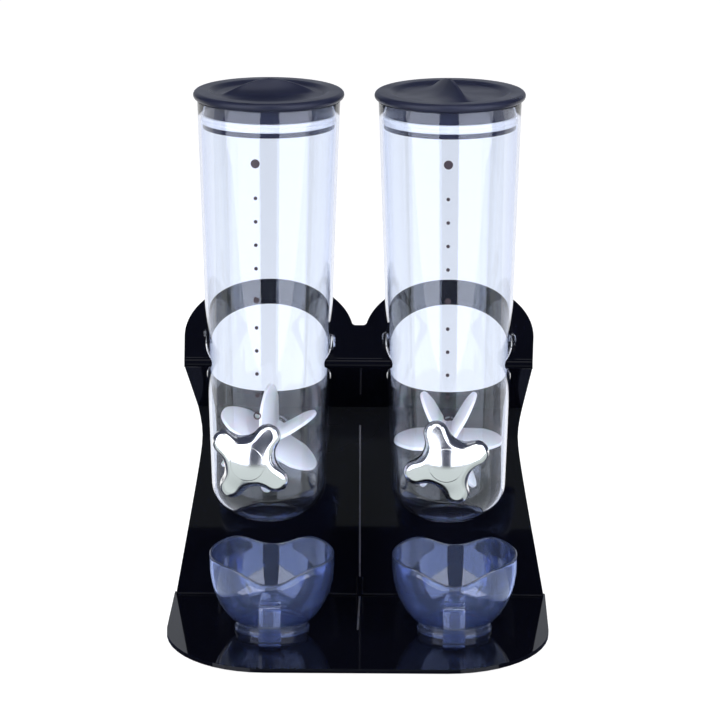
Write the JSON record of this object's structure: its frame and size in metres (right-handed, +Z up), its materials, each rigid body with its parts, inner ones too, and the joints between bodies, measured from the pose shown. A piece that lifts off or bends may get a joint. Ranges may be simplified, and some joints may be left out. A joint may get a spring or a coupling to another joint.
{
  "type": "cereal dispenser",
  "caption": "Countertop dry-food dispenser: clear canisters with press-in lids in a black stand, hand-turned paddle wheels, scoop cups below.",
  "frame": {"origin": "middle of the footprint, on the plane the rubber pads stand on", "axes": "+X to the right, -Y to the front where the knobs and cups are, +Z up"},
  "size_m": [0.2706, 0.206, 0.396],
  "materials": {
    "stand_black": "high gloss black",
    "pad_rubber": "matte",
    "steel_screw": "plain",
    "canister_clear": "clear moulded plastic, faint blue",
    "cup_clear": "clear moulded plastic, blue tint",
    "lid_black": "satin gloss",
    "gasket_white": "matte silicone",
    "bush_white": "smooth",
    "shaft_steel": "ground",
    "paddle_silicone": "translucent white silicone",
    "knob_chrome": "mirror chrome on plastic"
  },
  "bodies": {
    "stand": {"base_plate": "stand_black", "back_panel": "stand_black", "base_screws": "steel_screw", "foot_pad_front_left": "pad_rubber", "foot_pad_front_right": "pad_rubber", "foot_pad_rear_left": "pad_rubber", "foot_pad_rear_right": "pad_rubber"},
    "canister_body_left": {"canister_left": "canister_clear", "front_bush_left": "bush_white", "rear_bush_left": "bush_white"},
    "lid_body_left": {"lid_left": "lid_black", "gasket_left": "gasket_white"},
    "wheel_body_left": {"shaft_left": "shaft_steel", "paddle_left": "paddle_silicone", "knob_left": "knob_chrome", "knob_screw_left": "steel_screw", "knob_cap_left": "knob_chrome"},
    "cup_body_left": {"cup_left": "cup_clear"},
    "canister_body_right": {"canister_right": "canister_clear", "front_bush_right": "bush_white", "rear_bush_right": "bush_white"},
    "lid_body_right": {"lid_right": "lid_black", "gasket_right": "gasket_white"},
    "wheel_body_right": {"shaft_right": "shaft_steel", "paddle_right": "paddle_silicone", "knob_right": "knob_chrome", "knob_screw_right": "steel_screw", "knob_cap_right": "knob_chrome"},
    "cup_body_right": {"cup_right": "cup_clear"}
  },
  "joints": [
    {"name": "canister_lift_left", "type": "slide", "parent": "stand", "child": "canister_body_left", "axis": [0, 0, 1], "range_m": [0, 0.17]},
    {"name": "lid_lift_left", "type": "slide", "parent": "canister_body_left", "child": "lid_body_left", "axis": [0, 0, 1], "range_m": [0, 0.06]},
    {"name": "wheel_turn_left", "type": "hinge", "parent": "canister_body_left", "child": "wheel_body_left", "pos_m": [-0.0635, 0.029, 0.137], "axis": [-0.165, -0.9863, 0], "continuous": true},
    {"name": "cup_pull_left", "type": "slide", "parent": "stand", "child": "cup_body_left", "axis": [0, -1, 0], "range_m": [0, 0.12]},
    {"name": "canister_lift_right", "type": "slide", "parent": "stand", "child": "canister_body_right", "axis": [0, 0, 1], "range_m": [0, 0.17]},
    {"name": "lid_lift_right", "type": "slide", "parent": "canister_body_right", "child": "lid_body_right", "axis": [0, 0, 1], "range_m": [0, 0.06]},
    {"name": "wheel_turn_right", "type": "hinge", "parent": "canister_body_right", "child": "wheel_body_right", "pos_m": [0.0635, 0.029, 0.137], "axis": [-0.0175, -0.9998, 0], "continuous": true},
    {"name": "cup_pull_right", "type": "slide", "parent": "stand", "child": "cup_body_right", "axis": [0, -1, 0], "range_m": [0, 0.12]}
  ]
}
